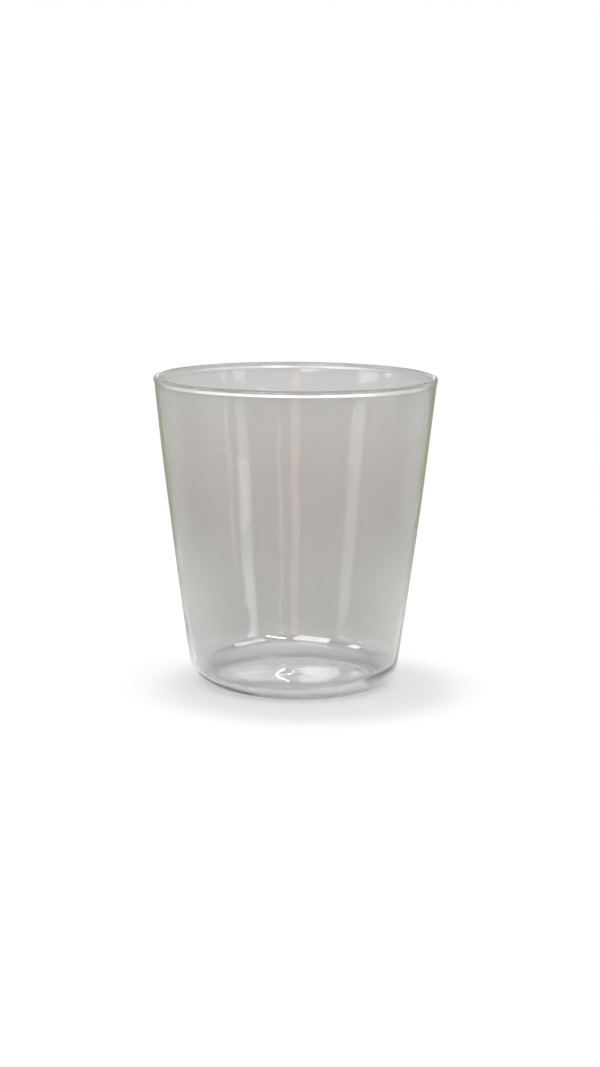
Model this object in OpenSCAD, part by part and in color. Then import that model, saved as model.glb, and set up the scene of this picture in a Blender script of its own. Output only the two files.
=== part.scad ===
// Thin clear tumbler for a cortado: one piece of blown glass with a straight flared wall,
// a fire-polished rim bead, a round heel and a base that is pushed up a little underneath.
// Millimetres. The foot stands on the plane z = 0 and the glass is round about Z.

/* [Wall] */
// Widest outer diameter, measured at the rim bead
rim_d = 72; // [60:0.5:90]
// Height from the table to the crest of the rim
height = 79; // [60:0.5:110]
// Outer diameter that the wall would reach at the table without its round heel
base_d = 52; // [44:0.5:58]
// Thickness of the wall, measured level
wall = 1.1; // [0.8:0.05:2]
// How far the wall bows out of a straight cone halfway up
belly = 0.4; // [0:0.05:1.5]

/* [Rim] */
// How much thicker the rim bead is than the wall
bead_extra = 0.35; // [0.2:0.05:1.5]
// How far the bead stands out from the outer face of the wall
bead_proud = 0.15; // [0:0.05:0.2]
// Height over which the bead thins into the wall
bead_run = 1.1; // [0.8:0.1:4]

/* [Base] */
// Radius of the round heel, outside
heel_r = 5.6; // [3:0.2:8]
// Radius of the round heel, inside
inner_heel_r = 5.8; // [2:0.2:7]
// Thickness of the base at the edge of its floor
floor_t = 1.6; // [1.2:0.1:4]
// How far the floor rises at its middle
floor_rise = 0.4; // [0.1:0.1:1.5]
// Depth of the hollow under the base
push_up = 0.6; // [0.2:0.1:1.2]
// Width of the flat ring that touches the table
foot_w = 2; // [1:0.2:4]

/* [Hidden] */

// Steps round the axis, on each round heel, over the bead, up the bowed wall and
// across the two shallow domes of the base
around_fn = 144;
heel_steps = 14;
bead_steps = 24;
wall_steps = 8;
dome_steps = 6;

glass_colour = [0.78, 0.80, 0.77, 0.45];

rim_r = rim_d / 2;
base_r = base_d / 2;

// Bead: a round cord of glass at the edge of the wall
bead_r = (wall + bead_extra) / 2;
bead_c = [rim_r - bead_r, height - bead_r];
run_z = bead_c[1] - bead_run;

// Radius of the wall's outer face: a straight cone from the table to the bead, plus its bow
function bowed_r(z) =
    let (rise_share = z / bead_c[1])
    base_r + (rim_r - bead_proud - base_r) * rise_share
    + 4 * belly * rise_share * (1 - rise_share);

// The bow starts above both heels, and the wall is one straight cone below that height
heel_top_z = max(heel_r, floor_t + inner_heel_r);
low_lean = (bowed_r(heel_top_z) - base_r) / heel_top_z;
lean_angle = atan(low_lean);
wall_zs = [for (i = [0 : wall_steps]) heel_top_z + (run_z - heel_top_z) * i / wall_steps];

// A round heel touches its floor and that cone: this share of its radius lies between its
// centre and the corner that it rounds
heel_in_share = (1 - sin(lean_angle)) / cos(lean_angle);
heel_c = [base_r - heel_r * heel_in_share, heel_r];
floor_corner_r = base_r + low_lean * floor_t - wall;
inner_heel_c = [floor_corner_r - inner_heel_r * heel_in_share, floor_t + inner_heel_r];
push_r = heel_c[0] - foot_w;

// Points on the circle with centre c and radius r, from one angle to another
function arc(c, r, from, to, steps) =
    [for (i = [0 : steps]) let (a = from + (to - from) * i / steps) c + r * [cos(a), sin(a)]];

// Angle at which the line from p touches that circle, on one side or the other
function touch_angle(p, c, r, side) =
    let (away = p - c) atan2(away[1], away[0]) + side * acos(r / norm(away));

// Points of a shallow dome, out from the axis: it stands h above the level z and ends at a.
// The last point is left to the edge that carries on from it
function dome(a, h, z) =
    [for (i = [0 : dome_steps - 1])
        let (out_share = i / dome_steps) [a * out_share, z + h * (1 - out_share * out_share)]];

function reversed(points) = [for (i = [len(points) - 1 : -1 : 0]) points[i]];

// Half section of the glass, from the hollow under the base round the outside to the floor
module half_section() {
    outer_run = [bowed_r(run_z), run_z];
    inner_run = [bowed_r(run_z) - wall, run_z];
    polygon(concat(
        dome(push_r, push_up, 0),
        [[push_r, 0]],
        arc(heel_c, heel_r, -90, -lean_angle, heel_steps),
        [for (z = wall_zs) [bowed_r(z), z]],
        arc(bead_c, bead_r, touch_angle(outer_run, bead_c, bead_r, 1),
            360 + touch_angle(inner_run, bead_c, bead_r, -1), bead_steps),
        reversed([for (z = wall_zs) [bowed_r(z) - wall, z]]),
        arc(inner_heel_c, inner_heel_r, -lean_angle, -90, heel_steps),
        reversed(dome(inner_heel_c[0], floor_rise, floor_t))));
}

// Wall, heel, base and rim bead in one continuous piece of glass
module glass_tumbler() {
    color(glass_colour) rotate_extrude($fn = around_fn) half_section();
}

glass_tumbler();
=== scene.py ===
# Looks for a thin blown-glass tumbler that stands on its foot at z = 0, round about the Z axis.
import math

import bpy
import numpy as np
from mathutils import Euler, Matrix, Vector


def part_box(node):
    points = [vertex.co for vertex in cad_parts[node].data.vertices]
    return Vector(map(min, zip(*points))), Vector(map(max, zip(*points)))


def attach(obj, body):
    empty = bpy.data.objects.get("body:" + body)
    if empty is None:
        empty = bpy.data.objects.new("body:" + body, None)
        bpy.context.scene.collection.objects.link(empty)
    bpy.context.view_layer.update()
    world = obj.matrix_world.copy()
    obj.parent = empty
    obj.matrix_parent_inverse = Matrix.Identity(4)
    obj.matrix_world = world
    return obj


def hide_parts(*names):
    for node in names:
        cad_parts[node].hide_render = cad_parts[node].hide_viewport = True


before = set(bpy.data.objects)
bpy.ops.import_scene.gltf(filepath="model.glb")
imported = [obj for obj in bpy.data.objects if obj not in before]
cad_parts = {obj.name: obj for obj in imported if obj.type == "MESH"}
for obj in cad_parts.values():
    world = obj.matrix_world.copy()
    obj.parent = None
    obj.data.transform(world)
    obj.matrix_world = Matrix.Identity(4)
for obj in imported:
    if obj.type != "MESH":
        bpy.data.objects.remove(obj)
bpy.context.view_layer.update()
glassLow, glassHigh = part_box("glass_tumbler")
mm = 0.001
print("frame loaded, glass is", [round(v / mm, 1) for v in glassHigh - glassLow], "mm")


# A shader socket that takes part in Python sums: each operator adds one Math node
class Wire:
    def __init__(self, board, socket):
        self.board = board
        self.socket = socket

    def maths(self, operation, first, second):
        return self.board.node("ShaderNodeMath", {"operation": operation}, {0: first, 1: second})

    def __add__(self, other): return self.maths("ADD", self, other)
    def __radd__(self, other): return self.maths("ADD", other, self)
    def __sub__(self, other): return self.maths("SUBTRACT", self, other)
    def __rsub__(self, other): return self.maths("SUBTRACT", other, self)
    def __mul__(self, other): return self.maths("MULTIPLY", self, other)
    def __rmul__(self, other): return self.maths("MULTIPLY", other, self)
    def __truediv__(self, other): return self.maths("DIVIDE", self, other)
    def __rtruediv__(self, other): return self.maths("DIVIDE", other, self)

    def atMost(self, limit): return self.maths("MINIMUM", self, limit)

    # 0 below low, 1 above high, and a smooth S between them
    def rise(self, low, high):
        return self.board.node("ShaderNodeMapRange", {"interpolation_type": "SMOOTHSTEP"},
                               {"Value": self, "From Min": low, "From Max": high})


# The node tree of one material or world, and the one method that adds to it
class Board:
    def __init__(self, owner):
        owner.use_nodes = True
        self.tree = owner.node_tree
        self.tree.nodes.clear()

    # Settings go in first, a ramp's stops among them, then the values or links of the sockets
    def node(self, kind, settings, sockets, out=0):
        made = self.tree.nodes.new(kind)
        for name, value in settings.items():
            if name == "stops":
                stops = made.color_ramp.elements
                stops.remove(stops[0])
                stops[0].position, stops[0].color = value[0]
                for place, colour in value[1:]:
                    stops.new(place).color = colour
            elif name == "ramp":
                made.color_ramp.interpolation = value
            else:
                setattr(made, name, value)
        for name, value in sockets.items():
            if isinstance(value, Wire):
                self.tree.links.new(value.socket, made.inputs[name])
            else:
                made.inputs[name].default_value = value
        return Wire(self, made.outputs[out]) if made.outputs else made

    # Two colours mixed by a factor, or multiplied
    def blend(self, factor, first, second, way="MIX"):
        return self.node("ShaderNodeMix", {"data_type": "RGBA", "blend_type": way},
                         {0: factor, 6: first, 7: second}, out=2)

    # Noise round 0.5 at a place in metres, with patches about size metres across
    def noise(self, place, size, detail=2.0):
        return self.node("ShaderNodeTexNoise", {}, {"Vector": place, "Scale": 1 / size, "Detail": detail})


glassShape = {
    "baseD": 52.0,          # outer diameter that the wall would reach at the table
    "wall": 1.1,            # level thickness of the wall
    "belly": 0.4,           # bow of the wall halfway up
    "beadExtra": 0.35,      # how much thicker the rim bead is than the wall
    "beadProud": 0.15,      # how far the bead stands out from the wall
    "beadRun": 1.1,         # height over which it thins into the wall
    "heelR": 5.6,           # outer heel radius
    "innerHeelR": 5.8,      # inner heel radius
    "floorT": 1.6,          # base thickness at the edge of the floor
    "floorRise": 0.4,       # rise of the floor at its middle
    "pushUp": 0.6,          # hollow under the base
    "footW": 2.0,           # ring that touches the table
    "around": 288,          # points round the axis
    # points along each stretch of the section
    "steps": {"hollow": 22, "foot": 5, "heel": 26, "wall": 54, "run": 8, "bead": 28, "innerHeel": 24,
              "floor": 26},
    "seed": 5,              # of the blown unevenness
    "outerWave": 0.030,     # unevenness of the outer wall, mm
    "innerWave": 0.050,     # of the inner wall
    "heelWave": 0.08,       # of the inner heel
    "floorWave": 0.04,      # of the floor
    "hollowWave": 0.012,    # of the hollow under the base
    # long and short waves: lobes round the axis, wavelengths along the section, how many, how strong
    "longWaves": ((1, 5), (30, 90), 5, 1.0),
    "shortWaves": ((6, 14), (14, 40), 8, 0.2),
    "swirl": 0.05,          # height of the swirl in the middle of the floor
    "swirlR": 4.5,          # its radius
    "swirlTwist": 2.0,      # how much it turns over that radius, in radians
    "softSide": 180,        # side, in degrees round from +X, where the heel is rounder
    "softHeelR": 8.4,       # heel radius there
}


# Cubic between two points of the section, leaving and arriving along given directions:
# the usual Hermite weights of a share s that runs from 0 to 1
def hermite(s, start, startRun, end, endRun):
    s = s[:, None]
    return ((2 * s**3 - 3 * s**2 + 1) * start + (s**3 - 2 * s**2 + s) * startRun
            + (3 * s**2 - 2 * s**3) * end + (s**3 - s**2) * endRun)


# Half section of the glass as (radius, height) in mm, from under the base round the outside,
# over the rim and down to the floor. Each stretch is a formula of a share s from 0 to 1:
# shallow domes are h (1 - s^2), heels and bead are circle arcs, and the wall is a cone
# whose radius gains 4 belly t (1 - t) at the share t of its height. The second result is
# how uneven the blown surface is at each point, in mm
def sectionOf(shape, rimR, height, heelR):
    baseR = shape["baseD"] / 2
    wall = shape["wall"]
    beadR = (wall + shape["beadExtra"]) / 2
    beadC = np.array([rimR - beadR, height - beadR])
    runZ = beadC[1] - shape["beadRun"]

    def bowed(z):
        t = z / beadC[1]
        return baseR + (rimR - shape["beadProud"] - baseR) * t + 4 * shape["belly"] * t * (1 - t)

    heelTop = max(heelR, shape["floorT"] + shape["innerHeelR"])
    lean = (bowed(heelTop) - baseR) / heelTop
    leanAngle = math.atan(lean)
    inShare = (1 - math.sin(leanAngle)) / math.cos(leanAngle)
    heelC = np.array([baseR - heelR * inShare, heelR])
    innerC = np.array([baseR + lean * shape["floorT"] - wall - shape["innerHeelR"] * inShare,
                       shape["floorT"] + shape["innerHeelR"]])
    pushR = heelC[0] - shape["footW"]

    def share(count, ends=(False, False)):
        return np.linspace(0, 1, count + 2)[1 - ends[0]:count + 1 + ends[1]]

    def arc(centre, radius, start, end, s):
        a = start + (end - start) * s
        return centre + radius * np.stack([np.cos(a), np.sin(a)], 1)

    stretches = []
    steps = shape["steps"]

    def add(points, uneven):
        stretches.append(np.column_stack([points, np.broadcast_to(uneven, len(points))]))

    s = share(steps["hollow"])
    add(np.stack([pushR * s, shape["pushUp"] * (1 - s**2)], 1), shape["hollowWave"] * s * (1 - s**4))
    s = share(steps["foot"], (True, False))
    add(np.stack([pushR + shape["footW"] * s, 0 * s], 1), 0)
    s = share(steps["heel"], (True, True))
    add(arc(heelC, heelR, -math.pi / 2, -leanAngle, s), shape["outerWave"] * s**2)
    z = heelTop + (runZ - heelTop) * share(steps["wall"], (True, True))
    add(np.stack([bowed(z), z], 1), shape["outerWave"])
    run = shape["beadRun"]
    tilt = (bowed(runZ) - bowed(runZ - run)) / run
    s = share(steps["run"])
    add(hermite(s, np.array([bowed(runZ), runZ]), run * np.array([tilt, 1]),
                beadC + [beadR, 0], run * np.array([0, 1])), shape["outerWave"])
    add(arc(beadC, beadR, 0, math.pi, share(steps["bead"], (True, True))), shape["outerWave"])
    add(hermite(s, beadC - [beadR, 0], run * np.array([0, -1]),
                np.array([bowed(runZ) - wall, runZ]), run * np.array([-tilt, -1])), shape["outerWave"])
    z = z[::-1]
    add(np.stack([bowed(z) - wall, z], 1), shape["innerWave"])
    s = share(steps["innerHeel"], (True, True))
    add(arc(innerC, shape["innerHeelR"], -leanAngle, -math.pi / 2, s),
        shape["innerWave"] + (shape["heelWave"] - shape["innerWave"]) * np.sin(math.pi * s / 2)**2)
    s = share(steps["floor"])[::-1]
    add(np.stack([innerC[0] * s, shape["floorT"] + shape["floorRise"] * (1 - s**2)], 1),
        shape["floorWave"] * s + (shape["heelWave"] - shape["floorWave"]) * s**6)
    whole = np.concatenate(stretches)
    return whole[:, :2], whole[:, 2:]


# Soft waves over the grid, between about -1 and 1 times their strength: a sum of cosines, each
# with a whole number of lobes round the axis and a wavelength in mm along the section, so that
# it closes
def waves(random, along, turn, lobes, wavelengths, count, strength):
    total = np.zeros(np.broadcast_shapes(along.shape, turn.shape))
    for _ in range(count):
        lobe = random.integers(lobes[0], lobes[1] + 1)
        slope = 2 * math.pi / random.uniform(*wavelengths) * random.choice([-1, 1])
        total += np.cos(lobe * turn + slope * along + random.uniform(0, 2 * math.pi))
    return strength * total / math.sqrt(count)


# Points of the blown glass. The section turns about Z, and its round heel grows from heelR to
# softHeelR towards softSide by the weight ((1 + cos a) / 2)^2. Each point then moves along the
# section's normal by its own unevenness times the waves, and the floor rises by a swirl
# h (r / R) e^(1/2 - r^2 / 2R^2) cos(a - twist r / R), which dies out long before the wall
def blownGrid(shape, rimR, height):
    random = np.random.default_rng(shape["seed"])
    turn = np.linspace(0, 2 * math.pi, shape["around"], endpoint=False)[None, :]
    firm, uneven = sectionOf(shape, rimR, height, shape["heelR"])
    soft, _ = sectionOf(shape, rimR, height, shape["softHeelR"])
    inner = np.arange(len(firm)) > int(np.argmax(firm[:, 1]))
    soft[inner] = firm[inner]
    weight = ((1 + np.cos(turn - math.radians(shape["softSide"]))) / 2)**2
    radius = firm[:, :1] + (soft - firm)[:, :1] * weight
    level = firm[:, 1:] + (soft - firm)[:, 1:] * weight

    step = np.gradient(firm, axis=0)
    step /= np.linalg.norm(step, axis=1, keepdims=True)
    along = np.concatenate([[0], np.cumsum(np.linalg.norm(np.diff(firm, axis=0), axis=1))])[:, None]
    push = uneven * (waves(random, along, turn, *shape["longWaves"])
                     + waves(random, along, turn, *shape["shortWaves"]))
    radius = radius + step[:, 1:] * push
    level = level - step[:, :1] * push

    share = np.where(inner[:, None], radius / shape["swirlR"], 0)
    level = level + (shape["swirl"] * share * np.exp((1 - share**2) / 2)
                     * np.cos(turn - shape["swirlTwist"] * share))
    return radius, level, turn


# Closed mesh from a grid of radius, height and turn in mm and radians: quads between
# neighbouring rows, and a fan of triangles from each end row to its pole on the axis
def meshOf(name, radius, height, turn, poleLow, poleHigh):
    rows, cols = radius.shape
    points = np.stack([radius * np.cos(turn), radius * np.sin(turn), height], -1).reshape(-1, 3)
    points = np.concatenate([points, [[0, 0, poleLow], [0, 0, poleHigh]]]) * mm
    at = np.arange(rows * cols).reshape(rows, cols)
    on = np.roll(at, -1, 1)
    quads = np.stack([at[:-1], on[:-1], on[1:], at[1:]], -1).reshape(-1, 4)
    lowFan = np.stack([np.full(cols, rows * cols), on[0], at[0]], -1)
    highFan = np.stack([np.full(cols, rows * cols + 1), at[-1], on[-1]], -1)
    loops = np.concatenate([quads.ravel(), lowFan.ravel(), highFan.ravel()]).astype(np.int32)
    sizes = np.concatenate([np.full(len(quads), 4), np.full(2 * cols, 3)])
    starts = np.concatenate([[0], np.cumsum(sizes)[:-1]]).astype(np.int32)
    mesh = bpy.data.meshes.new(name)
    mesh.vertices.add(len(points))
    mesh.vertices.foreach_set("co", points.astype(np.float32).ravel())
    mesh.loops.add(len(loops))
    mesh.loops.foreach_set("vertex_index", loops)
    mesh.polygons.add(len(sizes))
    mesh.polygons.foreach_set("loop_start", starts)
    mesh.polygons.foreach_set("use_smooth", np.ones(len(sizes), bool))
    mesh.update(calc_edges=True)
    mesh.validate()
    piece = bpy.data.objects.new(name, mesh)
    bpy.context.scene.collection.objects.link(piece)
    return piece


rimR = (glassHigh.x - glassLow.x) / 2 / mm
rimZ = glassHigh.z / mm
radius, level, turn = blownGrid(glassShape, round(rimR, 2), round(rimZ, 2))
tumbler = meshOf("tumbler", radius, level, turn, glassShape["pushUp"],
                 glassShape["floorT"] + glassShape["floorRise"])
print("tumbler built,", len(tumbler.data.polygons), "faces")


glassFinish = {
    "ior": 1.47,
    # grey that each face of the glass lets through, at shares of the height: painted shade that greys the
    # clear glass as if a darker room were seen through it, lighter at the base and darker at the rim bead
    "shadeTints": [(0.000, (0.985, 0.995, 0.990, 1)), (0.030, (0.985, 0.995, 0.990, 1)),
              (0.050, (0.970, 0.975, 0.965, 1)), (0.085, (0.825, 0.825, 0.815, 1)),
              (0.130, (0.750, 0.750, 0.738, 1)), (0.170, (0.750, 0.745, 0.732, 1)),
              (0.300, (0.750, 0.737, 0.720, 1)), (0.450, (0.735, 0.720, 0.706, 1)),
              (0.600, (0.755, 0.733, 0.713, 1)), (0.740, (0.800, 0.772, 0.750, 1)),
              (0.880, (0.835, 0.820, 0.795, 1)), (0.960, (0.815, 0.805, 0.785, 1)),
              (0.985, (0.680, 0.680, 0.660, 1)), (1.000, (0.640, 0.640, 0.620, 1))],
    "innerHeelShade": (0.52, 0.52, 0.525, 1),   # painted shade: darkens what enters the inner heel and wall from the inside
    "floorR": 0.0193,                       # radii between which the floor turns into the heel
    "heelR": 0.0203,
    "footShade": (0.57, 0.57, 0.555, 1),     # painted shade: darkens what enters the foot of the heel from outside
    "heelLow": 0.0015,                      # heights between which the foot ends
    "heelHigh": 0.0035,
    "paleLight": (0.86, 0.90, 0.89, 1),      # painted light: low on the wall its sides are made paler
    "paleDepth": 0.22,
    "paleStart": 0.15,                      # 0 is face on, 1 is edge on
    "paleEnd": 0.45,
    "paleLow": 0.018,
    "paleHigh": 0.040,
    "edgeTint": (0.06, 0.10, 0.03, 1),      # green where the outside is seen edge on
    "sideStart": 0.15,                      # from here it grows to sideDepth at edgeStart
    "sideDepth": 0.20,
    "edgeStart": 0.50,                      # and on to full at edgeEnd
    "edgeEnd": 0.85,
    "edgeLow": -0.020,                      # it also grows up the wall between these heights
    "edgeHigh": 0.060,
    "edgeShadeColour": (0.42, 0.45, 0.32, 1),    # painted shade: thin dark diffuse edge where the glass is seen edge on
    "lineStart": 0.66,
    "lineEnd": 0.86,
    "lineDepth": 0.92,
    "glossIor": 2.8,                        # of a coat that brightens the glints of the thick base
    "glossRough": 0.02,
    "glossLow": 0.0050,                     # the coat fades out between these heights
    "glossHigh": 0.0073,
    "dullLow": 0.0030,                      # and on the heel it only begins between these
    "dullHigh": 0.0042,
    "rimRough": 0.10,                       # softens the lights along the rim bead
    "rimLow": 0.0755,
    "rimHigh": 0.0765,
    "mouthRough": 0.10,                     # and in the mouth, just below it
    "mouthLow": 0.066,
    "mouthHigh": 0.072,
    "footRough": 0.25,                      # scuffed ring that stands on the table
    "footLow": 0.00005,
    "footHigh": 0.0003,
    "glassColour": (0.333, 0.556, 0.0, 1),  # what the body of the glass absorbs by its thickness
    "glassDensity": 3.0,                    # per metre
    "innerR": 0.02011,                      # foot of the inner wall, at the centre of the inner heel
    "innerZ": 0.0074,
    "innerLean": 0.121,                     # how much wider the wall gets for each metre of height
    "innerReach": 0.0065,                   # just over the inner heel's radius
    "innerSoft": 1.05,                      # times that reach, where the mask is over
    "smudgeSize": 0.018,
    "smudgeStart": 0.35,                    # noise values between which a smudge grows
    "smudgeEnd": 0.75,
    "smudgeColour": (0.6, 0.6, 0.6, 1),
    "smudgeDepth": 0.05,
    "smudgeRough": 0.02,
    "seedSize": 0.010,                      # spacing of tiny bubbles and specks
    "seedR": 0.00018,
    "seedCore": 0.6,                        # share of that radius in full seedColour
    "seedColour": (0.25, 0.25, 0.24, 1),
    "strandSize": 0.004,                    # fine upright strands in the glass
    "strandStretch": (1, 1, 0.08),
    "strandDepth": 0.00001,
}


# Clear glass, by height z, radius r and facing, which is 0 face on and 1 edge on.
# inner is the inner face: points closer than innerReach to the cone whose radius is
# innerR + innerLean (z - innerZ) above innerZ. outer is the rest. Both count only from the air side.
# Tint = ramp of z, a painted shade that greys the clear glass, mixed to smudgeColour and seedColour by
# their noises, times painted shade on the inner heel and wall and on the outer foot, then mixed to
# painted pale light low on the sides and to edgeTint where outer is seen edge on.
# Coat = inner below glossHigh, less the part of the heel that lies below dullHigh.
# Roughness = scuffed foot + rim bead + inner mouth + smudges.
# Last, painted shade covers outer as a dark dull edge where facing is past lineStart
def glassMaterial(finish, height):
    made = bpy.data.materials.new("clearGlass")
    board = Board(made)
    place = board.node("ShaderNodeTexCoord", {}, {}, out="Object")
    z = board.node("ShaderNodeSeparateXYZ", {}, {0: place}, out="Z")
    level = board.node("ShaderNodeVectorMath", {"operation": "MULTIPLY"}, {0: place, 1: (1, 1, 0)})
    r = board.node("ShaderNodeVectorMath", {"operation": "LENGTH"}, {0: level}, out="Value")
    facing = board.node("ShaderNodeLayerWeight", {}, {"Blend": 0.5}, out="Facing")
    entering = 1 - board.node("ShaderNodeNewGeometry", {}, {}, out="Backfacing")

    above = z - finish["innerZ"]
    below = above.atMost(0)
    beyond = (finish["innerR"] - r + (above - below) * finish["innerLean"]).atMost(0)
    reach = finish["innerReach"]
    past = (beyond * beyond + below * below).rise(reach**2, (reach * finish["innerSoft"])**2)
    inner = entering * (1 - past)
    outer = entering - inner
    heel = r.rise(finish["floorR"], finish["heelR"])
    overGloss = z.rise(finish["glossLow"], finish["glossHigh"])
    overDull = z.rise(finish["dullLow"], finish["dullHigh"])
    gloss = inner * (1 - overGloss) * (1 - heel * (1 - overDull))

    # painted shade: the ramp greys the clear glass by height
    ramp = {"ramp": "B_SPLINE", "stops": finish["shadeTints"]}
    tintAndShade = board.node("ShaderNodeValToRGB", ramp, {0: z / height})
    smudge = board.noise(place, finish["smudgeSize"]).rise(finish["smudgeStart"], finish["smudgeEnd"])
    tintAndShade = board.blend(smudge * finish["smudgeDepth"], tintAndShade, finish["smudgeColour"])
    seed = board.node("ShaderNodeTexVoronoi", {}, {"Vector": place, "Scale": 1 / finish["seedSize"]})
    share = finish["seedR"] / finish["seedSize"]
    tintAndShade = board.blend(1 - seed.rise(share * finish["seedCore"], share), tintAndShade, finish["seedColour"])
    # painted shade on the inner heel and wall
    tintAndShade = board.blend(inner * heel, tintAndShade, finish["innerHeelShade"], "MULTIPLY")
    # painted shade on the outer foot, low on the heel
    low = outer * (1 - z.rise(finish["heelLow"], finish["heelHigh"]))
    tintAndShade = board.blend(low, tintAndShade, finish["footShade"], "MULTIPLY")
    # painted light: the sides low on the wall are made paler
    pale = (facing.rise(finish["paleStart"], finish["paleEnd"]) * finish["paleDepth"]
            * overGloss * (1 - z.rise(finish["paleLow"], finish["paleHigh"])))
    tintAndShade = board.blend(pale, tintAndShade, finish["paleLight"])
    edged = (outer * z.rise(finish["edgeLow"], finish["edgeHigh"])
             * z.rise(finish["dullLow"], finish["glossHigh"]))
    side = facing.rise(finish["sideStart"], finish["edgeStart"]) * finish["sideDepth"]
    edge = facing.rise(finish["edgeStart"], finish["edgeEnd"]) * (1 - finish["sideDepth"])
    tintAndShade = board.blend((side + edge) * edged, tintAndShade, finish["edgeTint"])

    foot = 1 - z.rise(finish["footLow"], finish["footHigh"])
    bead = z.rise(finish["rimLow"], finish["rimHigh"])
    mouth = inner * z.rise(finish["mouthLow"], finish["mouthHigh"]) * (1 - bead)
    roughness = (foot * finish["footRough"] + bead * finish["rimRough"] + mouth * finish["mouthRough"]
                 + smudge * finish["smudgeRough"])
    upright = board.node("ShaderNodeVectorMath", {"operation": "MULTIPLY"},
                         {0: place, 1: finish["strandStretch"]})
    strands = board.noise(upright, finish["strandSize"], 1.0)
    bump = board.node("ShaderNodeBump", {}, {
        "Strength": 1.0, "Distance": finish["strandDepth"], "Height": strands})

    glass = board.node("ShaderNodeBsdfPrincipled", {}, {
        "Base Color": tintAndShade, "Roughness": roughness, "IOR": finish["ior"],
        "Transmission Weight": 1.0, "Normal": bump,
        "Coat Weight": gloss, "Coat Roughness": finish["glossRough"], "Coat IOR": finish["glossIor"]})
    # painted shade: a dark diffuse edge mixed over the glass where it is seen edge on
    edgeShade = board.node("ShaderNodeBsdfDiffuse", {}, {"Color": finish["edgeShadeColour"]})
    edgeShadeMask = edged * facing.rise(finish["lineStart"], finish["lineEnd"]) * finish["lineDepth"]
    surface = board.node("ShaderNodeMixShader", {}, {0: edgeShadeMask, 1: glass, 2: edgeShade})
    volume = board.node("ShaderNodeVolumeAbsorption", {}, {
        "Color": finish["glassColour"], "Density": finish["glassDensity"]})
    board.node("ShaderNodeOutputMaterial", {}, {"Surface": surface, "Volume": volume})
    return made


tumbler.data.materials.append(glassMaterial(glassFinish, glassHigh.z))
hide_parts("glass_tumbler")
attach(tumbler, "root")
print("glass finish made")


studio = {
    "floorSize": 6.0,
    "floorDrop": 0.00005,   # keeps the table just clear of the foot
    "floorColour": (0.8, 0.8, 0.8, 1),
    "floorGlow": 0.33,      # what lifts the pale floor to white where it is looked at
    "underGlow": 0.22,      # more of it under the glass, for the light that comes down through it
    "underStart": 0.0185,   # distances from the axis between which that ends
    "underEnd": 0.0212,
    "fadeStart": 0.12,      # distances between which the floor fades into the white backdrop
    "fadeEnd": 0.4,
    # brightness of the room by the sine of the elevation: white backdrop, dark band, pale ceiling
    "room": [(0.00, (1, 1, 1, 1)), (0.31, (1, 1, 1, 1)), (0.42, (0.15, 0.15, 0.15, 1)),
             (0.62, (0.15, 0.15, 0.15, 1)), (0.75, (1, 1, 1, 1))],
    # light turns many times inside the heel and the rim bead before it leaves them
    "bounces": 24,
    "glossyBounces": 16,
    "transmissionBounces": 20,
    "clamp": 60,            # brightest single bounce that counts
}


# Flat square floor. Its light = diffuse paint + floorGlow + underGlow under the glass, and with the
# distance from the axis it mixes into an even white. Glow and white show only to the camera and in
# or through the glass, so they light nothing
def whiteFloor(spec):
    half = spec["floorSize"] / 2
    z = -spec["floorDrop"]
    mesh = bpy.data.meshes.new("floor")
    mesh.from_pydata([(-half, -half, z), (half, -half, z), (half, half, z), (-half, half, z)], [],
                     [(0, 1, 2, 3)])
    floor = bpy.data.objects.new("floor", mesh)
    bpy.context.scene.collection.objects.link(floor)
    made = bpy.data.materials.new("whiteFloor")
    board = Board(made)
    place = board.node("ShaderNodeTexCoord", {}, {}, out="Object")
    away = board.node("ShaderNodeVectorMath", {"operation": "LENGTH"}, {0: place}, out="Value")
    # A ray that comes through the glass counts as glossy and as transmitted, and lifts only once
    seen = sum(board.node("ShaderNodeLightPath", {}, {}, out=kind) for kind in
               ("Is Camera Ray", "Is Glossy Ray", "Is Transmission Ray")).atMost(1)
    paint = board.node("ShaderNodeBsdfDiffuse", {}, {"Color": spec["floorColour"]})
    under = 1 - away.rise(spec["underStart"], spec["underEnd"])
    lift = board.node("ShaderNodeEmission", {}, {
        "Color": (1, 1, 1, 1), "Strength": seen * (under * spec["underGlow"] + spec["floorGlow"])})
    near = board.node("ShaderNodeAddShader", {}, {0: paint, 1: lift})
    far = board.node("ShaderNodeEmission", {}, {"Color": (1, 1, 1, 1), "Strength": 1.0})
    mixed = board.node("ShaderNodeMixShader", {}, {
        0: away.rise(spec["fadeStart"], spec["fadeEnd"]) * seen, 1: near, 2: far})
    board.node("ShaderNodeOutputMaterial", {}, {"Surface": mixed})
    mesh.materials.append(made)
    return floor


# The room's brightness is a soft ramp of the height of the direction looked in, its sine of elevation
def studioWorld(spec):
    world = bpy.data.worlds.new("studio")
    bpy.context.scene.world = world
    board = Board(world)
    direction = board.node("ShaderNodeTexCoord", {}, {}, out="Generated")
    up = board.node("ShaderNodeSeparateXYZ", {}, {0: direction}, out="Z")
    room = board.node("ShaderNodeValToRGB", {"ramp": "EASE", "stops": spec["room"]}, {0: up})
    light = board.node("ShaderNodeBackground", {}, {"Color": room, "Strength": 1.0})
    board.node("ShaderNodeOutputWorld", {}, {"Surface": light})


whiteFloor(studio)
studioWorld(studio)
print("floor and room made")

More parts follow.
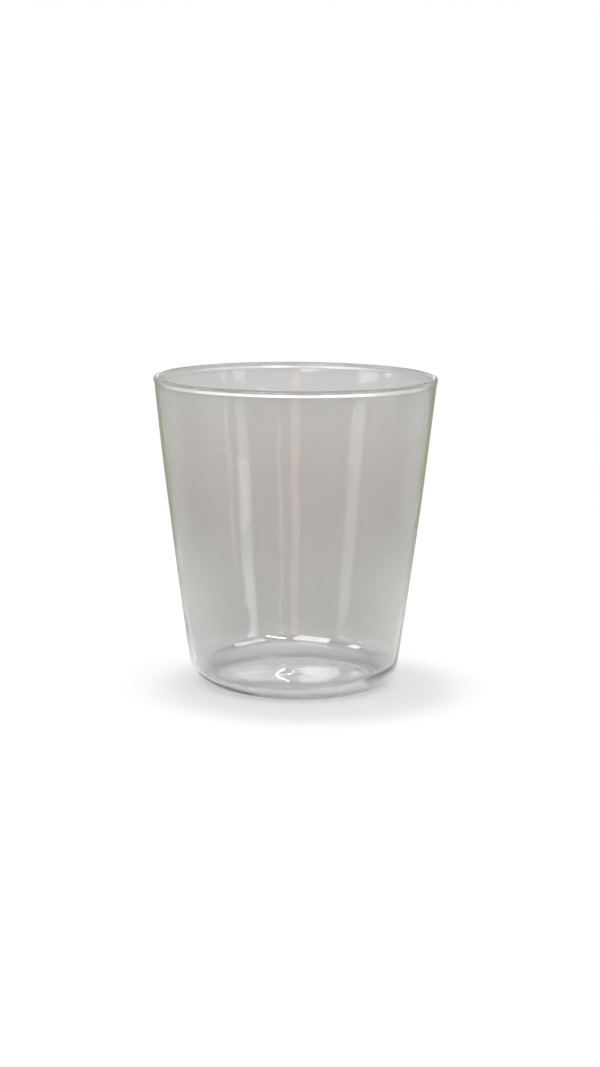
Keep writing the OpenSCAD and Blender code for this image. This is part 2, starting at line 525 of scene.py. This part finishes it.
# The lamp that lights the table, and cards that only show in the glass. Each faces the glass:
# size in metres, azimuth about the glass (0 is towards the camera, positive to its right),
# elevation, roll, distance, radiance (1 is paper white), colour
coolWhite = (0.92, 0.98, 1)
windowBlue = (0.82, 0.94, 1)
tableLamp = ((0.26, 0.26), -150, 84, 0, 1.5, 24.0, (1, 1, 1))
cards = {
    "windowRight": ((0.30, 0.070), 50, 5.4, 0, 1.6, 3.5, windowBlue),
    "windowRightFoot": ((0.34, 0.095), 51, 2.5, 0, 1.6, 7.6, windowBlue),
    "edgeRight": ((0.12, 0.13), 66, 4.6, 0, 1.6, 3.0, (0.9, 0.97, 1)),
    "doorway": ((0.22, 0.155), 0, 4.8, 0, 1.6, 4.4, (1, 0.5, 0.4)),
    "doorwayEdge": ((0.10, 0.12), 15, 4.2, 0, 1.6, 3.1, (1, 0.92, 0.85)),
    "windowLeft": ((0.50, 0.085), -67, 6.75, 0, 1.6, 3.4, coolWhite),
    "windowLeftFoot": ((0.38, 0.115), -59, 3.2, 0, 1.6, 3.6, coolWhite),
    "edgeLeft": ((0.2, 0.17), -88, 7.5, 0, 1.6, 4.0, coolWhite),
    "skyLeft": ((1.15, 0.77), -23, 26.5, -10, 1.6, 6.5, coolWhite),
    "skyLeftEdge": ((0.45, 0.4), -88, 30, 0, 1.6, 6.0, coolWhite),
    "skyRight": ((0.85, 0.14), 23, 22, -42, 1.6, 15.0, coolWhite),
    "skyRightEdge": ((1.1, 0.4), 60, 30, 0, 1.6, 4.0, coolWhite),
    "paneLeft": ((0.09, 0.5), -177.5, 13, 0, 1.6, 0.45, (0.85, 1, 0.97)),
    "paneMiddle": ((0.008, 0.5), -179.3, 13, 0, 1.6, 5.0, coolWhite),
    "paneRight": ((0.060, 0.5), 178.4, 13, 0, 1.6, 1.0, coolWhite),
}


# A rectangle of light at distance from aim, along (sin a cos e, -cos a cos e, sin e) for azimuth a
# and elevation e. It faces aim, and its power is radiance times pi times its area
def placeLamp(name, spec, aim):
    size, azimuth, elevation, roll, distance, radiance, colour = spec
    light = bpy.data.lights.new(name, "AREA")
    light.shape = "RECTANGLE"
    light.size, light.size_y = size
    light.color = colour
    light.energy = radiance * math.pi * size[0] * size[1]
    placed = bpy.data.objects.new(name, light)
    bpy.context.scene.collection.objects.link(placed)
    a, e = math.radians(azimuth), math.radians(elevation)
    away = Vector((math.sin(a) * math.cos(e), -math.cos(a) * math.cos(e), math.sin(e)))
    towards = away.to_track_quat("Z", "Y").to_matrix().to_4x4()
    placed.matrix_world = (Matrix.Translation(aim + away * distance) @ towards
                           @ Matrix.Rotation(math.radians(roll), 4, "Z"))
    placed.visible_camera = False
    return placed


glassMiddle = Vector((0, 0, (glassLow.z + glassHigh.z) / 2))
overhead = placeLamp("lamp", tableLamp, glassMiddle)
overhead.visible_glossy = False
overhead.visible_transmission = False
for name, spec in cards.items():
    placeLamp(name, spec, glassMiddle).visible_diffuse = False
cycles = bpy.context.scene.cycles
cycles.max_bounces = studio["bounces"]
cycles.glossy_bounces = studio["glossyBounces"]
cycles.transmission_bounces = studio["transmissionBounces"]
cycles.sample_clamp_indirect = studio["clamp"]
print("studio lit with", len(cards), "cards")


photoCamera = {
    "photoHeight": 1067,    # pixels
    "focal": 2363.0,        # pixels
    "sensor": 36.0,         # millimetres on the long side
    "place": (0.00137, -0.5963, 0.1418),
    "pitch": 9.835,         # degrees down from level
    "roll": 0.41,           # degrees
    "clip": (0.01, 20),
}


# Pinhole camera: its lens in mm is the focal length in pixels over the photo's height, times the
# sensor. It looks along +Y, pitched down, and is then rolled about its own axis
def placeCamera(spec):
    data = bpy.data.cameras.new("camera")
    data.sensor_width = spec["sensor"]
    data.lens = spec["focal"] / spec["photoHeight"] * spec["sensor"]
    data.clip_start, data.clip_end = spec["clip"]
    camera = bpy.data.objects.new("camera", data)
    bpy.context.scene.collection.objects.link(camera)
    look = Euler((math.radians(90 - spec["pitch"]), 0, 0)).to_matrix()
    turned = look @ Matrix.Rotation(math.radians(spec["roll"]), 3, "Z")
    camera.matrix_world = Matrix.Translation(spec["place"]) @ turned.to_4x4()
    bpy.context.scene.camera = camera


placeCamera(photoCamera)
bpy.context.scene.view_settings.view_transform = "Standard"
print("camera placed")
